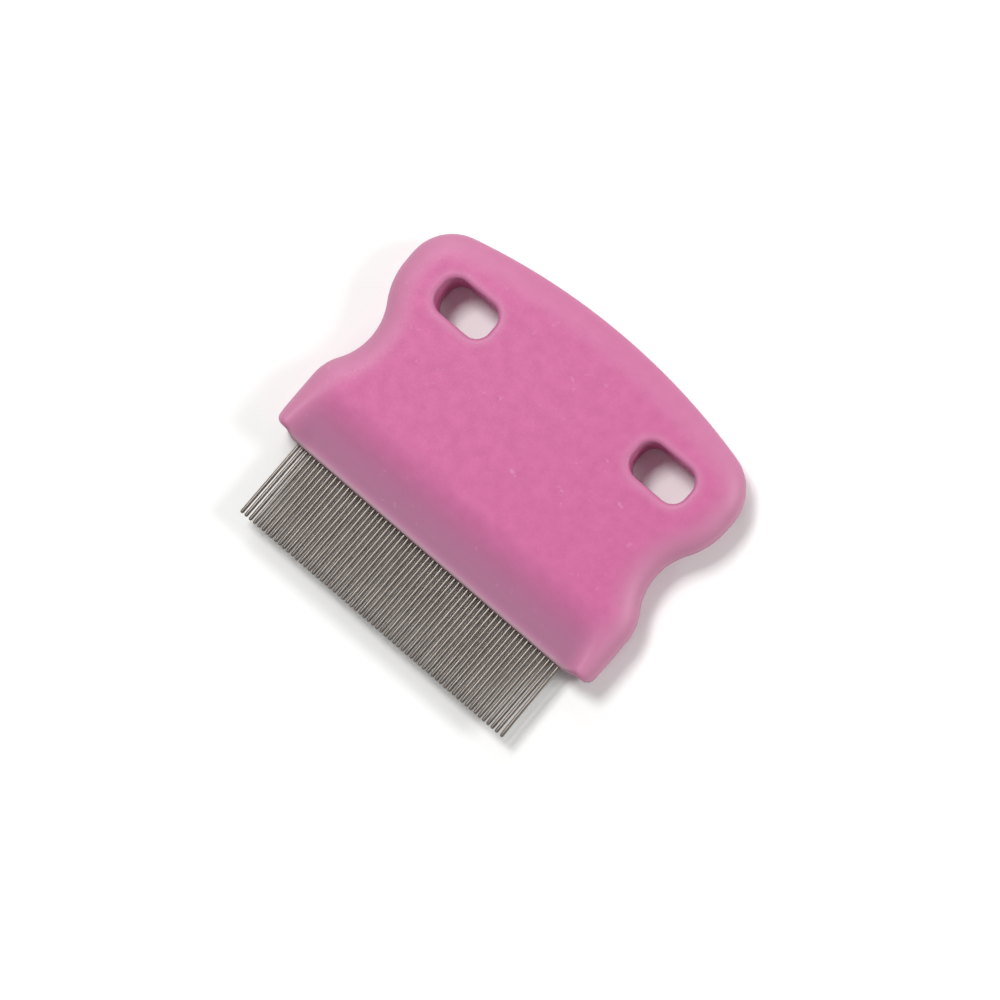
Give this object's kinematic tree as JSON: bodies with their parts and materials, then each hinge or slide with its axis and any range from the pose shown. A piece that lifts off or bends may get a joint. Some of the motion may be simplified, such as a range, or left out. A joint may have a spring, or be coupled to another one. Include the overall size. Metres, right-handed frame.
{
  "type": "flea comb",
  "caption": "Pocket flea comb: rounded plastic handle with finger waists and two hang slots, holding a fine row of straight steel wire teeth.",
  "frame": {"origin": "middle of the comb's footprint, on the surface that it lies on, halfway between the tooth tips and the crown and halfway between the two ears", "axes": "+X along the row of teeth, +Y from the tooth tips to the crown of the handle, +Z out of the upper face"},
  "size_m": [0.068, 0.0616, 0.009],
  "materials": {
    "handle_plastic": "satin moulded pink plastic with a fine even grain",
    "tooth_steel": "drawn stainless wire, satin along its length, with domed tips"
  },
  "bodies": {
    "root": {"handle": "handle_plastic", "tooth_01": "tooth_steel", "tooth_02": "tooth_steel", "tooth_03": "tooth_steel", "tooth_04": "tooth_steel", "tooth_05": "tooth_steel", "tooth_06": "tooth_steel", "tooth_07": "tooth_steel", "tooth_08": "tooth_steel", "tooth_09": "tooth_steel", "tooth_10": "tooth_steel", "tooth_11": "tooth_steel", "tooth_12": "tooth_steel", "tooth_13": "tooth_steel", "tooth_14": "tooth_steel", "tooth_15": "tooth_steel", "tooth_16": "tooth_steel", "tooth_17": "tooth_steel", "tooth_18": "tooth_steel", "tooth_19": "tooth_steel", "tooth_20": "tooth_steel", "tooth_21": "tooth_steel", "tooth_22": "tooth_steel", "tooth_23": "tooth_steel", "tooth_24": "tooth_steel", "tooth_25": "tooth_steel", "tooth_26": "tooth_steel", "tooth_27": "tooth_steel", "tooth_28": "tooth_steel", "teeth_29_30": "tooth_steel", "teeth_31_32": "tooth_steel", "teeth_33_34": "tooth_steel", "tooth_35": "tooth_steel", "tooth_36": "tooth_steel", "tooth_37": "tooth_steel", "tooth_38": "tooth_steel", "tooth_39": "tooth_steel", "tooth_40": "tooth_steel", "tooth_41": "tooth_steel", "tooth_42": "tooth_steel", "tooth_43": "tooth_steel", "tooth_44": "tooth_steel", "tooth_45": "tooth_steel", "tooth_46": "tooth_steel", "tooth_47": "tooth_steel", "tooth_48": "tooth_steel", "tooth_49": "tooth_steel", "tooth_50": "tooth_steel", "tooth_51": "tooth_steel", "tooth_52": "tooth_steel", "tooth_53": "tooth_steel", "tooth_54": "tooth_steel", "tooth_55": "tooth_steel", "tooth_56": "tooth_steel", "tooth_57": "tooth_steel", "tooth_58": "tooth_steel", "tooth_59": "tooth_steel", "tooth_60": "tooth_steel", "tooth_61": "tooth_steel", "tooth_62": "tooth_steel"}
  },
  "joints": []
}
